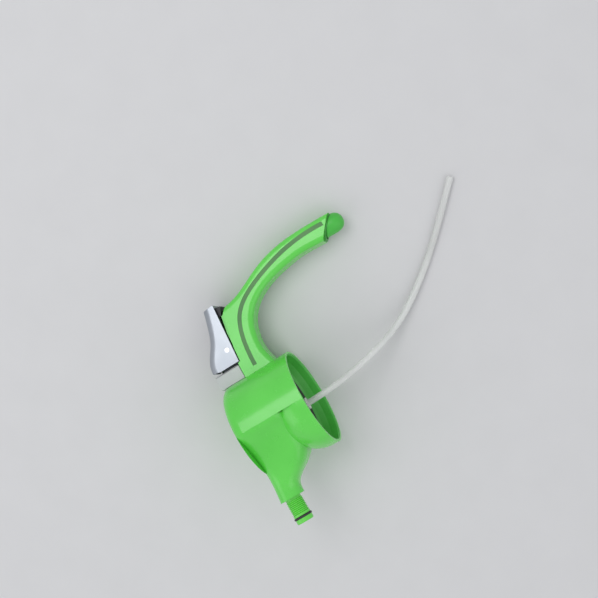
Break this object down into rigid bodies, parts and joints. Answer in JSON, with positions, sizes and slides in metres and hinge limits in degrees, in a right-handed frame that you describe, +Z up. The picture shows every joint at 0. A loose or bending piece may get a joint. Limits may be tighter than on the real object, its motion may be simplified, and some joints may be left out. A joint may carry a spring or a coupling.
{
  "type": "siphon pump head",
  "caption": "Hand-held siphon pump head for a drinks can: green cup and funnel spout, curved grip ending in a soft air bulb, silver thumb lever and clear siphon tube.",
  "frame": {"origin": "centre of the underside of the bounding box, without the siphon tube, as the head lies on its side on a table", "axes": "+X towards the spout, +Y out of the open cup, +Z up from the table; the head is rolled 15.2 degrees so that its side and its grip both touch the table"},
  "size_m": [0.1512, 0.1914, 0.063],
  "materials": {
    "green_plastic": "glossy bright green moulded plastic",
    "liner_plastic": "satin green moulded plastic",
    "spout_plastic": "glossy green moulded plastic",
    "inlay_plastic": "soft dark green strip",
    "gasket_rubber": "black rubber",
    "seal_rubber": "black rubber",
    "valve_plastic": "natural white plastic",
    "block_plastic": "light grey plastic",
    "steel": "polished steel wire and rod",
    "silver_cover": "silver metallic plated plastic",
    "frame_plastic": "black moulded plastic",
    "bulb_rubber": "soft green rubber",
    "ring_plastic": "darker green plastic ring",
    "tube_clear": "translucent flexible tube"
  },
  "bodies": {
    "housing": {"near_shell": "green_plastic", "far_shell": "green_plastic", "cup_liner": "liner_plastic", "can_gasket": "gasket_rubber", "siphon_nipple": "valve_plastic", "valve_body": "valve_plastic", "valve_seat": "valve_plastic", "spout_tail": "spout_plastic", "spout_o_ring": "seal_rubber", "gland_block": "block_plastic", "gland_seal": "seal_rubber", "lever_pin": "steel", "near_inlay": "inlay_plastic", "far_inlay": "inlay_plastic", "air_duct": "valve_plastic", "air_check_valve": "valve_plastic", "bulb_base": "ring_plastic", "bulb_inlet_valve": "seal_rubber", "bulb_ring": "ring_plastic", "bulb_skirt": "bulb_rubber", "siphon_tube": "tube_clear", "valve_spring": "steel"},
    "lever": {"lever_cover": "silver_cover", "lever_frame": "frame_plastic"},
    "rod": {"valve_rod": "steel", "poppet": "seal_rubber", "spring_collar": "valve_plastic"},
    "bulb": {"bulb_crown": "bulb_rubber"}
  },
  "joints": [
    {"name": "lever_pivot", "type": "hinge", "parent": "housing", "child": "lever", "pos_m": [-0.0352, -0.04096, 0.01821], "axis": [0.2622, 0, -0.965], "range_deg": [0, 8], "stiffness_Nm_per_rad": 0.6},
    {"name": "rod_slide", "type": "slide", "parent": "housing", "child": "rod", "axis": [-0.965, 0, -0.2622], "range_m": [0, 0.0018], "deforming": ["valve_spring"]},
    {"name": "bulb_press", "type": "slide", "parent": "housing", "child": "bulb", "axis": [-0.0505, -0.9986, -0.0137], "range_m": [0, 0.003], "stiffness_N_per_m": 1500, "deforming": ["bulb_skirt"]}
  ],
  "couplings": [
    {"joint": "rod_slide", "follows": "lever_pivot", "m_per_rad": 0.0118}
  ]
}
